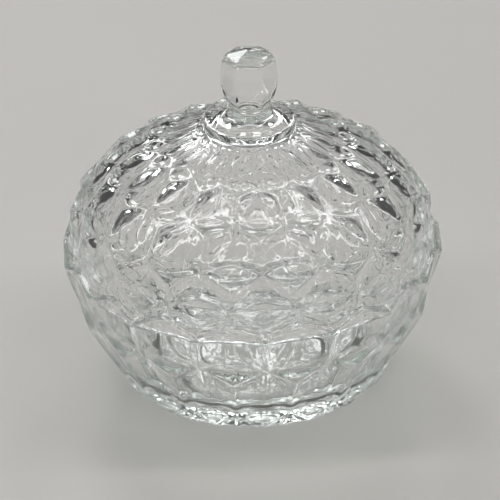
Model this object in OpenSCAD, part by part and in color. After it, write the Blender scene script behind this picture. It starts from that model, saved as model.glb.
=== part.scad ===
// Covered candy dish in clear pressed glass.
// The bowl and the lid are each pressed in one piece. Both carry the same relief of
// stacked cubes: every cube shows a diamond on top and two upright sides below it,
// and each ring of cubes stands half a step round from the next.
// The origin is the middle of the foot's underside, and +Z is up.

/* [Cube pattern] */
// Cubes in one ring
cubes_around = 18; // [12:1:24]
// How far a cube's front corner stands out of the smooth wall
corner_out = 1.9; // [0.6:0.1:2.4]
// How far the pit above a diamond lies inside the smooth wall
pit_in = 1.1; // [0.3:0.1:1.4]
// Depth of the hollow pressed into each diamond
diamond_dish = 0.6; // [0:0.1:0.8]
// Depth of the hollow pressed into each upright side
side_dish = 0.25; // [0:0.05:0.4]
// Height of a diamond above its side corners, along the wall
diamond_up = 4.8; // [3:0.1:5.5]
// Height of a diamond below its side corners, along the wall
diamond_down = 7; // [4.5:0.1:7.5]

/* [Bowl] */
// Radius of the rim at the hollows between its cubes
rim_r = 80.3; // [72:0.1:90]
// Radius where the smooth wall would meet the table
foot_r = 56; // [46:0.5:64]
// Height of the rim at the hollows between its cubes
rim_h = 64; // [54:0.5:76]
// How far the rim dips at each cube's front corner
rim_dip = 6; // [2:0.1:6.5]
// Fall of the rim's top outwards, in millimetres for each millimetre
rim_slope = 0.5; // [0.2:0.05:0.8]
// Flare of the wall: 1 is a straight cone, more is a fuller curve
wall_curve = 1.65; // [1.2:0.05:2]
// Thickness of the bowl's smooth wall
wall = 5.5; // [4.5:0.1:7]
// Height of the inside floor over the table
floor_h = 8; // [6:0.5:11]
// Radius of the inside corner between floor and wall
floor_fillet = 14; // [6:1:20]
// Height of the upper ring of cubes on the wall
upper_ring_h = 41; // [38:0.5:44]
// Height of the lower ring of cubes on the wall
lower_ring_h = 12; // [11:0.5:15]
// Width of the ring that the foot stands on
foot_land = 9; // [5:0.5:14]
// Depth of the hollow under the foot
foot_hollow = 1.5; // [0.8:0.1:2.5]
// Height of the ledge that the lid sits on
ledge_h = 55.5; // [50:0.5:56]
// Bevel on the edges of the ledge, of the lid's flange and of the hollow under the foot
edge_bevel = 0.5; // [0.2:0.1:0.7]
// Thickness of the rim between the lid's recess and the hollows of the rim
rim_wall = 2.7; // [2.2:0.1:3.5]

/* [Lid] */
// Play between the lid's flange and the recess in the rim, all round
lid_play = 1; // [0.5:0.1:1.6]
// Gap between the resting lid's flange and the ledge
seat_gap = 0.1; // [0.05:0.05:0.3]
// Height of the lid's flange, from the ledge to the start of the dome
flange_h = 14; // [12:0.5:18]
// Rise of the dome's round curve above the flange
dome_rise = 41; // [32:0.5:50]
// Extra rise of the dome towards its crown
crown_rise = 9; // [3:0.5:13]
// Thickness of the lid's smooth dome
lid_wall = 5; // [4.2:0.1:6.5]
// Places of the three full rings of cubes, in degrees down the dome from its axis
dome_rings = [31, 47.5, 69.5];

/* [Knob] */
// Radius of the round disc under the knob
disc_r = 19.3; // [17:0.1:21]
// Thickness of the disc
disc_t = 3.3; // [2:0.1:4.5]
// Height of the plain collar between dome and disc
collar_h = 1.6; // [1:0.1:3]
// Height of the stem from the disc to the knob
stem_h = 8; // [6:0.5:12]
// Radius of the bead at the top of the stem
stem_r = 9.2; // [7.5:0.1:10.5]
// Facets round the knob
knob_facets = 6; // [6:1:8]
// Radius of the knob at its widest, on the edges between facets
knob_r = 12; // [11:0.1:15]
// Radius of the knob's shoulder, on the edges between facets
shoulder_r = 10.9; // [9:0.1:11]
// Radius of the flat that the knob's low point rises from
knob_top_r = 9.4; // [7:0.1:9.8]
// Height of the knob up to its shoulder
knob_h = 19.5; // [15:0.5:26]
// Height of the bevel between shoulder and top
knob_bevel = 1.3; // [0.6:0.1:2.5]
// Height of the low point on top of the knob
knob_point = 2.8; // [1:0.1:5]
// Turn of the knob's facets against the cubes, in degrees
knob_turn = -5; // [-15:1:15]

/* [Hidden] */
$fn = 96;
glass = [0.84, 0.90, 0.87];
step = 360 / cubes_around;
// a hollow is a shallow bowl: this share of the way in, it has this share of its depth
hollow_in = 0.3;
hollow_share = 1 - pow(1 - hollow_in, 2);
curve_steps = 16;
cut_over = 5;
// the recess in the rim, and the flange that drops into it
recess_r = rim_r - rim_wall;
flange_r = recess_r - lid_play;
lid_z = ledge_h + seat_gap;
dome_z = lid_z + flange_h;
// the dome meets its collar where the collar's foot reaches it
collar_r = disc_r + 2;
collar_at = asin(collar_r / flange_r);
disc_z = lid_at(collar_at)[1] + collar_h;
stem_z = disc_z + disc_t;
knob_z = stem_z + stem_h;

// ---- smooth curves that the relief is laid on ----

// outer wall of the bowl at height z
function wall_at(z) = [rim_r - (rim_r - foot_r) * pow(1 - z / rim_h, wall_curve), z];
// dome of the lid, t degrees down from its axis
function lid_at(t) = [flange_r * sin(t), dome_z + dome_rise * cos(t) + crown_rise * pow(1 - sin(t), 2)];
// unit vector out of a curve, from the points just above and just below
function outward(above, below) = let (d = below - above) [-d[1], d[0]] / norm(d);
function wall_out(z) = outward(wall_at(min(z + 0.5, rim_h)), wall_at(z - 0.5));
function lid_out(t) = outward(lid_at(t - 0.5), lid_at(t + 0.5));
// millimetres of dome for one degree of t
function lid_mm(t) = norm(lid_at(t + 0.5) - lid_at(t - 0.5));
// millimetres of wall for one millimetre of height
function wall_mm(z) = norm(wall_at(z + 0.5) - wall_at(z - 0.5));

// points of a ring of cubes: side corners, pit above the diamond, front corner below it
function wall_cube(z) = [
  wall_at(z),
  wall_at(z + diamond_up / wall_mm(z)) - pit_in * wall_out(z),
  wall_at(z - diamond_down / wall_mm(z)) + corner_out * wall_out(z)
];
function dome_cube(t) = [
  lid_at(t),
  lid_at(t - diamond_up / lid_mm(t)) - pit_in * lid_out(t),
  lid_at(t + diamond_down / lid_mm(t)) + corner_out * lid_out(t)
];

// ---- the stacked-cube skin ----

// a ring of points at [radius, height], turned by a number of pattern steps
function ring(p, turn) = [
  for (k = [0:cubes_around - 1])
    let (a = -90 + (k + turn) * step) [p[0] * cos(a), p[0] * sin(a), p[1]]
];
// half a step more in every other ring
function stagger(i) = (i % 2) / 2;
// number of point k in list j, where each list is one ring of points
function at(j, k) = j * cubes_around + (k + cubes_around) % cubes_around;
// hollow of a four-cornered face: one point on the way in from each corner, then its middle
function hollow(p, q, depth) = let (
  middle = (p[q[0]] + p[q[1]] + p[q[2]] + p[q[3]]) / 4,
  out = cross(p[q[3]] - p[q[1]], p[q[2]] - p[q[0]]),
  down = depth * out / norm(out)
) [for (e = q) p[e] + hollow_in * (middle - p[e]) - hollow_share * down, middle - down];

// Solid under a relief of stacked cubes. Each row is [side corners, pit, front corner].
// The first row has no diamonds: its pits are the points straight above its front corners,
// top is the ring of points above its side corners, and foot closes the last row.
module cube_skin(rows, top, foot) {
  last = len(rows) - 1;
  above = 3 * len(rows);
  below = above + 1;
  under = above + 2;
  steps = [0:cubes_around - 1];
  corners = concat(
    [for (i = [0:last]) for (kind = [0:2]) each ring(rows[i][kind], stagger(i) - (kind == 0 ? 0.5 : 0))],
    ring(top, -0.5),
    ring(foot, stagger(last)),
    ring(foot, stagger(last) - 0.5)
  );
  diamonds = [
    for (i = [1:last]) for (k = steps)
      [at(3 * i, k), at(3 * i + 1, k), at(3 * i, k + 1), at(3 * i + 2, k)]
  ];
  left_sides = [
    for (i = [0:last - 1]) for (k = steps)
      let (n = k + i % 2) [at(3 * i, k), at(3 * i + 2, k), at(3 * i + 3, n), at(3 * i + 4, n - 1)]
  ];
  right_sides = [
    for (i = [0:last - 1]) for (k = steps)
      let (n = k + i % 2) [at(3 * i + 2, k), at(3 * i, k + 1), at(3 * i + 4, n), at(3 * i + 3, n)]
  ];
  edges = [
    for (k = steps) each [
      [at(above, k), at(1, k), at(2, k), at(0, k)],
      [at(1, k), at(above, k + 1), at(0, k + 1), at(2, k)],
      [at(3 * last, k), at(3 * last + 2, k), at(below, k), at(under, k)],
      [at(3 * last + 2, k), at(3 * last, k + 1), at(under, k + 1), at(below, k)]
    ]
  ];
  quads = concat(diamonds, left_sides, right_sides, edges);
  first_side = len(diamonds);
  first_edge = first_side + len(left_sides) + len(right_sides);
  hollows = [
    for (i = [0:len(quads) - 1])
      each hollow(corners, quads[i], i < first_side ? diamond_dish : i < first_edge ? side_dish : 0)
  ];
  cap = len(corners) + len(hollows);
  points = concat(corners, hollows, [[0, 0, top[1]], [0, 0, foot[1]]]);
  faces = concat(
    [
      for (i = [0:len(quads) - 1]) for (e = [0:3])
        let (q = quads[i], n = (e + 1) % 4, h = len(corners) + 5 * i)
          each [[q[e], q[n], h + n], [q[e], h + n, h + e], [h + e, h + n, h + 4]]
    ],
    [for (k = steps) each [
      [cap, at(1, k), at(above, k)],
      [cap, at(above, k + 1), at(1, k)],
      [cap + 1, at(under, k), at(below, k)],
      [cap + 1, at(below, k), at(under, k + 1)]
    ]]
  );
  polyhedron(points, faces, convexity = 6);
}

// ---- bowl ----

// the rim's top runs on inwards past the recess, where the recess cuts it off
function rim_inside(p) = let (r = recess_r - cut_over) [r, p[1] + rim_slope * (p[0] - r)];
// inside of the wall, with the round corner above the floor
function corner_in(u) = u >= 1 ? 0 : floor_fillet * (1 - sqrt(1 - pow(1 - u, 2)));
function inside_at(z) = let (p = wall_at(z) - wall * wall_out(z))
  [p[0] - corner_in((p[1] - floor_h) / floor_fillet), p[1]];

module bowl() {
  front = wall_at(rim_h - rim_dip) + [corner_out, 0];
  hollow_at = wall_at(rim_h);
  // the foot's edge is set in a little from where the wall would meet the table
  foot = [foot_r - 1, 0];
  lowest = wall_at(2) + [corner_out / 2, 0];
  low_ring = wall_cube(lower_ring_h);
  // heights on the wall whose inside points run from the floor to the ledge
  low = floor_h - wall * 0.45;
  inside = [for (i = [0:curve_steps]) inside_at(low + (ledge_h - low) * i / curve_steps)];
  ledge_r = inside[curve_steps][0];
  hollow_r = foot_r - 1 - foot_land;
  color(glass)
    difference() {
      cube_skin(
        [
          [hollow_at, rim_inside(front), front],
          wall_cube(upper_ring_h),
          [low_ring[0], low_ring[1], lowest]
        ],
        rim_inside(hollow_at),
        foot
      );
      rotate_extrude()
        polygon(concat(
          [[0, rim_h + 2 * cut_over], [0, floor_h]],
          [for (p = inside) if (p[1] > floor_h && p[1] < ledge_h - 2 * edge_bevel) p],
          [
            [ledge_r, ledge_h - edge_bevel],
            [ledge_r + edge_bevel, ledge_h],
            [recess_r, ledge_h],
            [recess_r, rim_h + 2 * cut_over]
          ]
        ));
      rotate_extrude()
        polygon([
          [0, -cut_over],
          [hollow_r + edge_bevel, -cut_over],
          [hollow_r + edge_bevel, 0],
          [hollow_r, edge_bevel],
          [hollow_r - 3 * foot_hollow, foot_hollow],
          [0, foot_hollow]
        ]);
    }
}

// ---- lid ----

// inside of the dome
function dome_in(t) = lid_at(t) - lid_wall * lid_out(t);
// height of the knob's widest place above the stem
belly = knob_h * 0.42;
// share of the way from the belly to the stem below or to the shoulder above
function from_belly(z) = z < belly ? (belly - z) / belly : (z - belly) / (knob_h - belly);
// radius of the knob's edges at height z above the stem
function knob_edge(z) = knob_r - (knob_r - (z < belly ? stem_r : shoulder_r)) * pow(from_belly(z), 2);
// how far the facets have run out into a round at height z: wholly at the stem, half at the shoulder
function knob_round(z) = (z < belly ? 1 : 0.5) * pow(from_belly(z), 4);

// Pressed knob: flat facets on a full barrel, bevelled to a low point on top
module knob() {
  levels = 10;
  facet_steps = 4;
  sides = facet_steps * knob_facets;
  facet = 360 / knob_facets;
  // each level lists [height, radius on the edges, share that is round]
  barrel = [for (i = [0:levels]) let (z = knob_h * i / levels) [z, knob_edge(z), knob_round(z)]];
  top = [knob_h + knob_bevel, knob_top_r, 0];
  all = concat(barrel, [top]);
  last = len(all) - 1;
  points = concat(
    [
      for (l = all) for (k = [0:sides - 1])
        let (
          a = k * 360 / sides,
          off = (k % facet_steps) * 360 / sides - facet / 2,
          r = l[1] * (l[2] + (1 - l[2]) * cos(facet / 2) / cos(off))
        ) [r * cos(a), r * sin(a), l[0]]
    ],
    [[0, 0, 0], [0, 0, knob_h + knob_bevel + knob_point]]
  );
  faces = concat(
    [for (i = [0:last - 1]) for (k = [0:sides - 1]) let (n = (k + 1) % sides) each [
      [i * sides + k, (i + 1) * sides + k, (i + 1) * sides + n],
      [i * sides + k, (i + 1) * sides + n, i * sides + n]
    ]],
    [for (k = [0:sides - 1]) let (n = (k + 1) % sides) each [
      [len(points) - 2, k, n],
      [len(points) - 1, last * sides + n, last * sides + k]
    ]]
  );
  translate([0, 0, knob_z])
    rotate([0, 0, -90 + facet / 2 + knob_turn])
      polyhedron(points, faces, convexity = 4);
}

// Turned profile of the collar, the disc and the stem that carry the knob
module stem() {
  bead = 1.9;
  sweep = 5;
  edge = 0.8;
  rotate_extrude()
    union() {
      polygon([
        [0, disc_z - collar_h - lid_wall / 2],
        [collar_r - 2, disc_z - collar_h - lid_wall / 2],
        [collar_r + 0.4, disc_z - collar_h - 0.4],
        [disc_r - 1, disc_z],
        [disc_r - edge, disc_z],
        [disc_r, disc_z + edge],
        [disc_r, stem_z - edge],
        [disc_r - edge, stem_z],
        [0, stem_z]
      ]);
      difference() {
        translate([0, stem_z - 0.5])
          square([stem_r - 0.5 + sweep, knob_z - stem_z - bead + 0.5]);
        translate([stem_r - 0.5 + sweep, stem_z + sweep])
          circle(r = sweep);
        translate([stem_r - 0.5, stem_z + sweep])
          square([2 * sweep, stem_h]);
      }
      translate([0, knob_z - bead])
        square([stem_r - 0.5, bead + 0.5]);
      translate([stem_r - 0.5, knob_z - bead / 2])
        circle(r = bead / 2);
    }
}

module lid() {
  step_out = 0.3;
  // how far the skin's foot reaches down into the flange
  skin_in = 0.5;
  // the last ring of cubes starts where the dome meets the flange, inside the recess
  last_ring = dome_cube(90);
  last_corner = [flange_r, dome_z - diamond_down] + [step_out, 0];
  skin_foot = [flange_r - step_out, dome_z - diamond_down - 2];
  under_disc = lid_at(asin((disc_r - 4) / flange_r));
  inner_r = flange_r - lid_wall;
  color(glass)
    difference() {
      union() {
        cube_skin(
          concat(
            [[lid_at(collar_at), under_disc, lid_at(collar_at + 2)]],
            [for (t = dome_rings) dome_cube(t)],
            [[last_ring[0], last_ring[1], last_corner]]
          ),
          under_disc,
          skin_foot
        );
        rotate_extrude()
          polygon([
            [0, lid_z],
            [flange_r - edge_bevel, lid_z],
            [flange_r, lid_z + edge_bevel],
            [flange_r, skin_foot[1] + skin_in],
            [0, skin_foot[1] + skin_in]
          ]);
        stem();
        knob();
      }
      rotate_extrude()
        polygon(concat(
          [[0, lid_z - cut_over], [0, dome_in(0.5)[1]]],
          [for (i = [1:curve_steps]) dome_in(90 * i / curve_steps)],
          [
            [inner_r, lid_z + edge_bevel],
            [inner_r + edge_bevel, lid_z],
            [inner_r + edge_bevel, lid_z - cut_over]
          ]
        ));
    }
}

bowl();
lid();
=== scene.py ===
import math
import bmesh
import bpy
from mathutils import Matrix, Vector


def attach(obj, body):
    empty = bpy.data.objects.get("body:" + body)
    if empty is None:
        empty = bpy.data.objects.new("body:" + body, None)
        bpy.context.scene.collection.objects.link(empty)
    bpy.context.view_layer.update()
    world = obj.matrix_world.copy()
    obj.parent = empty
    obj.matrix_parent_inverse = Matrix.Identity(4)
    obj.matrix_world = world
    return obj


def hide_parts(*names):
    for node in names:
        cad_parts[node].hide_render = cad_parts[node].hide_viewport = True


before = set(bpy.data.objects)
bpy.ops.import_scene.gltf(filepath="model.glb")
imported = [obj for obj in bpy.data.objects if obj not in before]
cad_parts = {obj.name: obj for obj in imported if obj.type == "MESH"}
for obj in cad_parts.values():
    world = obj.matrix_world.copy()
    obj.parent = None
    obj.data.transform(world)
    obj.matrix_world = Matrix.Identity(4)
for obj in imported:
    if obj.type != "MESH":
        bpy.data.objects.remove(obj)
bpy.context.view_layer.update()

# ---- Camera ----
# A long lens looks down at the dish from the front, as someone standing at the table would,
# and leans a degree to one side.
camera_turn = math.radians(-93.4)
camera_away, camera_height = 0.995, 0.6246
aim_height, aim_left = 0.0547, 0.0008
camera_lean = math.radians(-1.0)

lens = bpy.data.cameras.new("camera")
lens.lens = 192.5
lens.sensor_width = 36
lens.clip_start, lens.clip_end = 0.05, 20
camera = bpy.data.objects.new("camera", lens)
bpy.context.collection.objects.link(camera)
bpy.context.scene.camera = camera
eye = Vector((
    camera_away * math.cos(camera_turn),
    camera_away * math.sin(camera_turn),
    camera_height,
))
sideways = Vector((0, 0, 1)).cross(eye).normalized()
look = Vector((0, 0, aim_height)) - aim_left * sideways - eye
turned = look.to_track_quat("-Z", "Y").to_matrix() @ Matrix.Rotation(camera_lean, 3, "Z")
camera.matrix_world = Matrix.Translation(eye) @ turned.to_4x4()

# ---- Floor and light ----
# A plain pale table top in a dim studio. Slim lamps over the dish, beside it and in front of it
# and two broad ones behind let each ridge and hollow of the glass draw a fine bright line.
floor_half = 3.0
floor_grey = (0.54, 0.525, 0.5, 1)
dish_middle = Vector((0, 0, 0.06))
bm = bmesh.new()
bmesh.ops.create_grid(bm, x_segments=1, y_segments=1, size=floor_half)
floor_mesh = bpy.data.meshes.new("floor")
bm.to_mesh(floor_mesh)
bm.free()
floor = bpy.data.objects.new("floor", floor_mesh)
bpy.context.collection.objects.link(floor)
floor_paint = bpy.data.materials.new("floor")
floor_paint.use_nodes = True
floor_shader = floor_paint.node_tree.nodes["Principled BSDF"]
floor_shader.inputs["Base Color"].default_value = floor_grey
floor_shader.inputs["Roughness"].default_value = 0.6
floor_mesh.materials.append(floor_paint)


def lamp(name, place, width, length, power):
    """A soft lamp of that width and length, which shines at the dish with that many watts."""
    light = bpy.data.lights.new(name, "AREA")
    light.shape = "RECTANGLE"
    light.size, light.size_y = width, length
    light.energy = power
    holder = bpy.data.objects.new(name, light)
    bpy.context.collection.objects.link(holder)
    holder.location = place
    holder.rotation_euler = (dish_middle - Vector(place)).to_track_quat("-Z", "Y").to_euler()


lamp("lamp_over", (0, 0.12, 1.4), 1.6, 0.12, 3.5)
lamp("lamp_over_front", (0, -0.9, 1.4), 1.6, 0.06, 3)
lamp("lamp_left", (-1.0, 0, 1.2), 0.12, 1.4, 5)
lamp("lamp_right", (1.0, 0, 1.2), 0.12, 1.4, 5)
lamp("lamp_front_left", (-0.8, -1.5, 0.6), 0.08, 0.9, 3)
lamp("lamp_front_right", (0.9, -1.5, 0.6), 0.08, 0.9, 3)
lamp("lamp_back_left", (-0.3, 1.3, 1.1), 0.45, 0.7, 7)
lamp("lamp_back_right", (0.4, 1.3, 1.0), 0.3, 0.5, 3)

room = bpy.data.worlds.new("room")
bpy.context.scene.world = room
room.use_nodes = True
nodes, links = room.node_tree.nodes, room.node_tree.links
way = nodes.new("ShaderNodeTexCoord")
up = nodes.new("ShaderNodeSeparateXYZ")
shade = nodes.new("ShaderNodeValToRGB")
links.new(way.outputs["Generated"], up.inputs["Vector"])
links.new(up.outputs["Z"], shade.inputs["Fac"])
links.new(shade.outputs["Color"], nodes["Background"].inputs["Color"])
# grey of the walls from the horizon, 0, to the ceiling, 1
room_shades = ((0.0, 0.04), (0.5, 0.05), (0.6, 0.08), (1.0, 0.2))
stops = shade.color_ramp.elements
stops[0].position, stops[1].position = 0, 1
for position, _ in room_shades[1:-1]:
    stops.new(position)
for stop, (_, grey) in zip(stops, room_shades):
    stop.color = (grey, grey, grey, 1)
nodes["Background"].inputs["Strength"].default_value = 1.0
bpy.context.scene.view_settings.view_transform = "Standard"
# light runs to and fro many times in thick glass before it comes out
bpy.context.scene.cycles.max_bounces = 32
bpy.context.scene.cycles.glossy_bounces = 24
bpy.context.scene.cycles.transmission_bounces = 32

# ---- Bowl ----
# Round bowl of clear glass, pressed in a mould and fire-polished. Outside it has three staggered
# rings of stacked cubes; inside it is smooth, with a ledge and a recess for the lid at the rim.
cubes = 18
step = math.tau / cubes
# how full a soft ring's cage must be drawn for the smoothed ring to keep its radius
full = 3 / (2 + math.cos(step / 2))
# the wall, which flares from the foot to the rim and curves more with a higher wall_curve
rim_radius, foot_radius, rim_height, wall_curve = 0.0803, 0.056, 0.064, 1.65
wall, floor_height, floor_fillet = 0.0055, 0.008, 0.014
# a cube's front corner stands out of the wall and its pit lies in it, below and above its side corners
corner_out, pit_in = 0.0019, 0.0012
diamond_up, diamond_down = 0.0048, 0.007
# heights of the side corners of two rings and of the last front corners, and a small step down
upper_ring, lower_ring, foot_corner = 0.041, 0.012, 0.002
wall_down = -0.001
# the rim dips between its points, and slopes in to the recess and the ledge for the lid
rim_dip, rim_slope, rim_wall, rim_out, rim_in = 0.006, 0.5, 0.0027, 0.00155, 0.0002
recess_radius = rim_radius - rim_wall
ledge_height = 0.0555
# the foot stands on a flat ring round a shallow hollow
foot_inset, foot_land, foot_hollow = 0.001, 0.009, 0.0015
# a turned corner's small radius, and the last ring round the middle of a flat, as a share of it
soft_edge, flat_middle = 0.0006, 0.4
# rings down the inside, the share of the wall by which they start below the floor on the outside,
# and the width of the floor's edge
inside_rings, low_share, floor_edge = 9, 0.45, 0.012
# the kinds of face, and how deep each kind is hollowed for its width
SMOOTH, DIAMOND, SIDE, LAND = range(4)
hollows = {DIAMOND: 0.2, SIDE: 0.03, LAND: 0.03}
# a ridge's round edge, and the bead along it, as shares of the edge
ridge, bead_width, bead_depth = 0.0003, 1.1, 0.8
# how far in each step of a hollow reaches
hollow_steps = (0.4, 0.75)


def place(point, turn):
    """Where a [radius, height] point stands, turned by a number of cubes from the front."""
    angle = turn * step - math.pi / 2
    return Vector((full * point.x * math.cos(angle), full * point.x * math.sin(angle), point.y))


def panel(bm, kind, *corners):
    """One face of the cage, from (point, turn) corners."""
    face = bm.faces.new([bm.verts.new(place(point, turn)) for point, turn in corners])
    face.material_index = kind


def outward(curve, at, down):
    """Unit vector out of a wall's curve, which runs down by steps of down."""
    along = curve(at + down / 2) - curve(at - down / 2)
    return Vector((-along.y, along.x)).normalized()


def cube_points(curve, at, down):
    """Side corners, pit and front corner of a ring of cubes on a curve."""
    length = (curve(at + down / 2) - curve(at - down / 2)).length
    pit, front = at - diamond_up / length * down, at + diamond_down / length * down
    return (
        curve(at),
        curve(pit) - pit_in * outward(curve, pit, down),
        curve(front) + corner_out * outward(curve, front, down),
    )


def relief(bm, rows, top, foot):
    """One cube's width of the relief: a diamond and two sides in every ring."""
    side, _, front = rows[0]
    panel(bm, LAND, (top[0], -0.5), (side, -0.5), (front, 0), (top[1], 0))
    panel(bm, LAND, (top[1], 0), (front, 0), (side, 0.5), (top[0], 0.5))
    for i, (side, pit, front) in enumerate(rows):
        turn = i % 2 / 2
        if i:
            panel(bm, DIAMOND, (side, turn - 0.5), (front, turn), (side, turn + 0.5), (pit, turn))
        low_pit, low_side = (foot, foot) if i == len(rows) - 1 else (rows[i + 1][1], rows[i + 1][0])
        panel(bm, SIDE, (side, turn - 0.5), (low_pit, turn - 0.5), (low_side, turn), (front, turn))
        panel(bm, SIDE, (front, turn), (low_side, turn), (low_pit, turn + 0.5), (side, turn + 0.5))


def softened(radius, height, *offsets):
    """A corner of a turned profile, drawn by points that lie so far out and up from it."""
    return [Vector((radius + out, height + up)) for out, up in offsets]


def bands(bm, points, first=None):
    """One cube's width of the smooth, turned bands between one point of a profile and the next."""
    left, middle = first or (points[0], points[0])
    for low in points[0 if first else 1:]:
        panel(bm, SMOOTH, (left, -0.5), (middle, 0), (low, 0), (low, -0.5))
        panel(bm, SMOOTH, (middle, 0), (left, 0.5), (low, 0.5), (low, 0))
        left = middle = low


def press(bm, name, sharp=lambda edge: False):
    """Repeats one cube's width all round, rounds the ridges and hollows the faces between them."""
    bmesh.ops.spin(bm, geom=bm.faces[:], cent=(0, 0, 0), axis=(0, 0, 1), dvec=(0, 0, 0),
                   angle=math.tau - step, steps=cubes - 1, use_duplicate=True)
    bmesh.ops.remove_doubles(bm, verts=bm.verts[:], dist=1e-5)
    bmesh.ops.recalc_face_normals(bm, faces=bm.faces[:])
    ridges = [
        e for e in bm.edges if sharp(e) or any(f.material_index != SMOOTH for f in e.link_faces)
    ]
    rounded = bmesh.ops.bevel(bm, geom=ridges, offset=ridge, offset_type="OFFSET", segments=1,
                              profile=0.5, affect="EDGES", material=-1, clamp_overlap=True)
    for face in rounded["faces"]:
        face.material_index = SMOOTH
    for face in [f for f in bm.faces if f.material_index != SMOOTH]:
        across = 2 * face.calc_area() / face.calc_perimeter()
        deep = across * hollows[face.material_index]
        bmesh.ops.inset_individual(bm, faces=[face], thickness=bead_width * ridge,
                                   depth=-bead_depth * ridge, use_even_offset=True)
        across -= bead_width * ridge
        done = 0
        for part in hollow_steps:
            sunk = deep * ((1 - done) ** 2 - (1 - part) ** 2)
            bmesh.ops.inset_individual(bm, faces=[face], thickness=across * (part - done),
                                       depth=-sunk, use_even_offset=True)
            done = part
    return finished(bm, name)


def finished(bm, name):
    """The smoothed object of a cage."""
    for face in bm.faces:
        face.smooth = True
        face.material_index = 0
    mesh = bpy.data.meshes.new(name)
    bm.to_mesh(mesh)
    bm.free()
    piece = bpy.data.objects.new(name, mesh)
    bpy.context.collection.objects.link(piece)
    soft = piece.modifiers.new("fire_polish", "SUBSURF")
    soft.levels = soft.render_levels = 2
    return piece


def wall_at(height):
    """Smooth outer wall of the bowl."""
    flare = (1 - min(height / rim_height, 1)) ** wall_curve
    return Vector((rim_radius - (rim_radius - foot_radius) * flare, height))


def rim_inside(point):
    """Where the rim's sloping top meets the recess."""
    return Vector((recess_radius, point.y + rim_slope * (point.x - recess_radius)))


def inside_at(height):
    """Inside of the wall, with the round corner above the floor."""
    inner = wall_at(height) - wall * outward(wall_at, height, wall_down)
    up = min((inner.y - floor_height) / floor_fillet, 1)
    return Vector((inner.x - floor_fillet * (1 - math.sqrt(1 - (1 - up) ** 2)), inner.y))


def clear_glass():
    """Clear pressed glass: colourless in thin walls, faintly green where it is thick."""
    glass = bpy.data.materials.new("clear_glass")
    glass.use_nodes = True
    nodes, links = glass.node_tree.nodes, glass.node_tree.links
    shader = nodes["Principled BSDF"]
    shader.inputs["Base Color"].default_value = (1, 1, 1, 1)
    shader.inputs["Roughness"].default_value = 0.0
    shader.inputs["IOR"].default_value = 1.52
    shader.inputs["Transmission Weight"].default_value = 1.0
    depth = nodes.new("ShaderNodeVolumeAbsorption")
    depth.inputs["Color"].default_value = (0.75, 0.87, 0.8, 1)
    depth.inputs["Density"].default_value = 4.5
    links.new(depth.outputs["Volume"], nodes["Material Output"].inputs["Volume"])
    path = nodes.new("ShaderNodeLightPath")
    shadow = nodes.new("ShaderNodeBsdfTransparent")
    shadow.inputs["Color"].default_value = (0.58, 0.60, 0.59, 1)
    mix = nodes.new("ShaderNodeMixShader")
    links.new(path.outputs["Is Shadow Ray"], mix.inputs["Fac"])
    links.new(shader.outputs["BSDF"], mix.inputs[1])
    links.new(shadow.outputs["BSDF"], mix.inputs[2])
    links.new(mix.outputs["Shader"], nodes["Material Output"].inputs["Surface"])
    where = nodes.new("ShaderNodeTexCoord")
    waves = nodes.new("ShaderNodeTexNoise")
    waves.inputs["Scale"].default_value = 90
    waves.inputs["Detail"].default_value = 1
    links.new(where.outputs["Object"], waves.inputs["Vector"])
    uneven = nodes.new("ShaderNodeBump")
    uneven.inputs["Strength"].default_value = 1
    uneven.inputs["Distance"].default_value = 0.0001
    links.new(waves.outputs["Fac"], uneven.inputs["Height"])
    links.new(uneven.outputs["Normal"], shader.inputs["Normal"])
    return glass


glass = clear_glass()
bm = bmesh.new()
rim_point = wall_at(rim_height) - Vector((rim_in, 0))
front_point = wall_at(rim_height - rim_dip) + Vector((rim_out, 0))
rim_top = (rim_inside(rim_point), rim_inside(front_point))
low_side, low_pit, _ = cube_points(wall_at, lower_ring, wall_down)
low_front = wall_at(foot_corner) + Vector((corner_out / 2, 0))
foot_edge = Vector((foot_radius - foot_inset, 0))
relief(
    bm,
    [
        (rim_point, None, front_point),
        cube_points(wall_at, upper_ring, wall_down),
        (low_side, low_pit, low_front),
    ],
    rim_top,
    foot_edge,
)
low_inside = floor_height - wall * low_share
inside_span = ledge_height - low_inside
inside = [
    inside_at(low_inside + inside_span * ring / inside_rings) for ring in range(inside_rings, 0, -1)
]
inside = [p for p in inside if floor_height + soft_edge / 3 < p.y < ledge_height - 2 * soft_edge]
ledge_radius = inside_at(ledge_height).x
floor_radius = inside[-1].x
bands(
    bm,
    [
        *softened(recess_radius, ledge_height, (0, soft_edge), (0, 0), (-soft_edge, 0)),
        *softened(ledge_radius, ledge_height, (soft_edge, 0), (0, 0), (0, -soft_edge)),
        *inside,
        Vector((floor_radius - floor_edge, floor_height)),
        Vector((floor_radius * flat_middle, floor_height)),
        Vector((0, floor_height)),
    ],
    first=rim_top,
)
hollow_radius = foot_radius - foot_inset - foot_land
bands(
    bm,
    [
        foot_edge,
        Vector((foot_edge.x - soft_edge, 0)),
        *softened(hollow_radius, 0, (soft_edge, 0), (0, 0)),
        *softened(hollow_radius, foot_hollow, (0, 0), (-soft_edge, 0)),
        Vector((hollow_radius * flat_middle, foot_hollow)),
        Vector((0, foot_hollow)),
    ],
)
bowl = press(bm, "glass_bowl")
bowl.data.materials.append(glass)
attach(bowl, "bowl")
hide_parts("bowl")

# ---- Lid ----
# Domed lid pressed in one piece with its knob: three staggered rings of stacked cubes, a round
# disc and a stem that carry a knob with flattened sides, and a plain flange that drops into the rim,
# where it stands on the bowl's ledge with a little play round it.
lid_play, seat_gap, flange_height = 0.001, 0.0001, 0.014
flange_radius = recess_radius - lid_play
lid_bottom = ledge_height + seat_gap
dome_bottom = lid_bottom + flange_height
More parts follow.
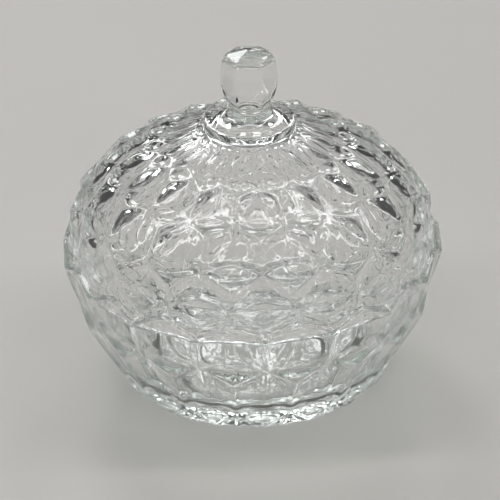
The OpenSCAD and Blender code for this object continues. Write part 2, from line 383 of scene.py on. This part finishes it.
# the dome, its rings of cubes and the smooth rings of its inside, in degrees down from the axis
dome_rise, crown_rise, lid_wall = 0.041, 0.009, 0.005
dome_rings = (31, 47.5, 69.5)
dome_inside_rings = range(86, 4, -9)
dome_down = 1
# the last front corners stand out of the flange a little, and its plain band starts below them
last_out, last_up = 0.0003, 0.0025
# the first side and front corners lie so many degrees down from the collar under the disc
collar_out, collar_height, first_side, first_front = 0.002, 0.0016, 0.4, 2.6
disc_radius, disc_thick = 0.0193, 0.0033
stem_height, stem_radius, bead = 0.008, 0.0092, 0.0019
knob_radius, shoulder_radius, knob_top_radius = 0.012, 0.0109, 0.0094
knob_height, knob_bevel, knob_point = 0.0195, 0.0013, 0.0028
knob_sides, knob_turn = 6, math.radians(-5)
# how high the knob is widest, as a share of its height, and the rings that draw its barrel
knob_belly = 0.42
barrel_heights = (0.0006, 0.002, 0.0045, 0.0075, 0.011, 0.0145, 0.0175)


def lid_at(degrees):
    """Smooth dome of the lid, so many degrees down from its axis."""
    t = math.radians(degrees)
    rise = dome_rise * math.cos(t) + crown_rise * (1 - math.sin(t)) ** 2
    return Vector((flange_radius * math.sin(t), dome_bottom + rise))


def knob_edge(height):
    """Radius of the knob's barrel, so high above its stem."""
    belly = knob_height * knob_belly
    if height < belly:
        return knob_radius - (knob_radius - stem_radius) * (1 - height / belly) ** 2
    up = (height - belly) / (knob_height - belly)
    return knob_radius - (knob_radius - shoulder_radius) * up ** 2


def facet_part(point):
    """Where a point lies on its knob facet, from -0.5 at one edge to 0.5 at the other."""
    turn = math.atan2(point.y, point.x) + math.pi / 2 - knob_turn
    return (turn / math.tau * knob_sides + 0.5) % 1 - 0.5


def knob_ridge(edge):
    """True for the upright edges between the knob's facets, away from its foot and its axis."""
    return all(
        v.co.z > knob_foot + soft_edge and v.co.xy.length > soft_edge and abs(facet_part(v.co)) > 0.49
        for v in edge.verts
    )


def flatten_knob(mesh):
    """Flattens the round barrel to facets, which run out over its lowest fifth and, by half, over its
    highest quarter."""
    facet_in = math.cos(math.pi / knob_sides)
    for vertex in mesh.vertices:
        if vertex.co.z > knob_foot:
            up = min((vertex.co.z - knob_bottom) / knob_height, 1)
            round_part = max(0, 1 - 5 * up) ** 2
            if vertex.co.z < knob_rim:
                round_part += 0.5 * max(0, 4 * up - 3)
            flat = facet_in / math.cos(facet_part(vertex.co) * math.tau / knob_sides)
            share = round_part + (1 - round_part) * flat
            vertex.co.x *= share
            vertex.co.y *= share


collar_radius = disc_radius + collar_out
collar_at = math.degrees(math.asin(collar_radius / flange_radius))
collar_base = lid_at(collar_at).y
disc_bottom = collar_base + collar_height
disc_top = disc_bottom + disc_thick
knob_bottom = disc_top + stem_height
knob_foot = knob_bottom + soft_edge / 2
knob_shoulder = knob_bottom + knob_height
knob_rim = knob_shoulder + knob_bevel
bm = bmesh.new()
last_side, last_pit, _ = cube_points(lid_at, 90, dome_down)
last_front = Vector((flange_radius + last_out, dome_bottom - diamond_down))
flange_top = Vector((flange_radius, dome_bottom - diamond_down - last_up))
under = Vector((collar_radius - soft_edge, collar_base + soft_edge / 3))
relief(
    bm,
    [
        (lid_at(collar_at + first_side), None, lid_at(collar_at + first_front)),
        *(cube_points(lid_at, degrees, dome_down) for degrees in dome_rings),
        (last_side, last_pit, last_front),
    ],
    (under, under),
    flange_top,
)
# from the collar up: the disc's lower and upper edge, the stem's flare, its neck and bead, the
# knob's barrel, its shoulder and its low point
bands(
    bm,
    [
        under,
        *softened(disc_radius, disc_bottom, (-0.0004, -0.0004), (-0.0002, 0.0001), (0, 0.0006)),
        *softened(disc_radius, disc_top, (0, -0.0007), (-0.0006, 0), (-0.0022, 0)),
        *softened(stem_radius, disc_top, (0.0045, 0), (0.0015, 0.0008), (-0.0002, 0.0028)),
        *softened(stem_radius, knob_bottom - bead, (-0.0006, -0.0004), (0, 0)),
        *softened(stem_radius, knob_bottom, (0.0005, -bead / 2), (0, -0.0001)),
        *(Vector((knob_edge(height), knob_bottom + height)) for height in barrel_heights),
        *softened(shoulder_radius, knob_shoulder, (0, -0.0005), (-0.0003, 0.0002)),
        *softened(knob_top_radius, knob_rim, (0, 0), (-0.0008, 0.0002)),
        Vector((knob_top_radius / 2, knob_rim + knob_point / 2)),
        Vector((0, knob_rim + knob_point)),
    ],
)
inner_radius = flange_radius - lid_wall
bands(
    bm,
    [
        flange_top,
        *softened(flange_radius, lid_bottom, (0, soft_edge), (-soft_edge / 2, 0)),
        *softened(inner_radius, lid_bottom, (soft_edge / 2, 0), (0, soft_edge)),
        *(lid_at(t) - lid_wall * outward(lid_at, t, dome_down) for t in dome_inside_rings),
        Vector((0, lid_at(0).y - lid_wall)),
    ],
)
bmesh.ops.rotate(bm, verts=[v for v in bm.verts if v.co.z > knob_foot], cent=(0, 0, 0),
                 matrix=Matrix.Rotation(knob_turn, 3, "Z"))
lid = press(bm, "glass_lid", knob_ridge)
lid.data.materials.append(glass)
flatten_knob(lid.data)
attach(lid, "lid")
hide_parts("lid")
